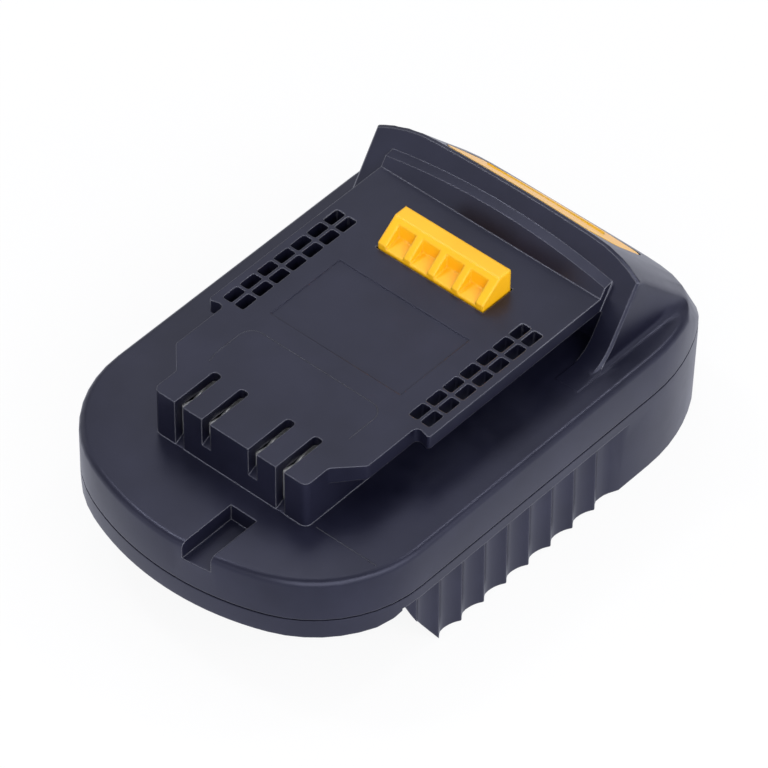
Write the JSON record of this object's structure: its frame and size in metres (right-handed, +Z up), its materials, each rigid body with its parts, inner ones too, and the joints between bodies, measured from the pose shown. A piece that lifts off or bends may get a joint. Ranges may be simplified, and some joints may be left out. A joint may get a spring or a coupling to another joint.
{
  "type": "tool battery adapter",
  "caption": "Hand-sized plastic adapter: a slotted rail block with a sprung release latch on top slides into a cordless tool; a ribbed skirt below takes a slide-on battery pack.",
  "frame": {"origin": "middle of the outline in plan, at the foot of the skirt", "axes": "+Z up from the pack bay to the tool rail, +Y from the rounded nose to the release button, +X to the right seen from the nose end"},
  "size_m": [0.076, 0.121, 0.0471],
  "materials": {
    "housing": "satin, finely textured",
    "latch": "semi-gloss",
    "steel": "plated",
    "board": "satin",
    "contact": "tin plated",
    "resistor": "lacquered",
    "lead_black": "satin",
    "lead_red": "satin"
  },
  "bodies": {
    "adapter": {"upper_housing": "housing", "lower_housing": "housing", "latch_spring_left": "steel", "latch_spring_right": "steel", "circuit_board": "board", "contact_minus": "contact", "contact_signal_a": "contact", "contact_signal_b": "contact", "contact_plus": "contact", "id_resistor": "resistor", "terminal_block": "housing", "blade_minus": "contact", "blade_plus": "contact", "lead_minus": "lead_black", "lead_plus": "lead_red", "housing_screws": "steel", "board_screws": "steel", "terminal_screws": "steel"},
    "latch": {"release_latch": "latch"}
  },
  "joints": [
    {"name": "latch_press", "type": "slide", "parent": "adapter", "child": "latch", "axis": [0, 0, -1], "range_m": [0, 0.0045], "stiffness_N_per_m": 1500, "springref_m": -0.002, "deforming": ["latch_spring_left", "latch_spring_right"]}
  ]
}
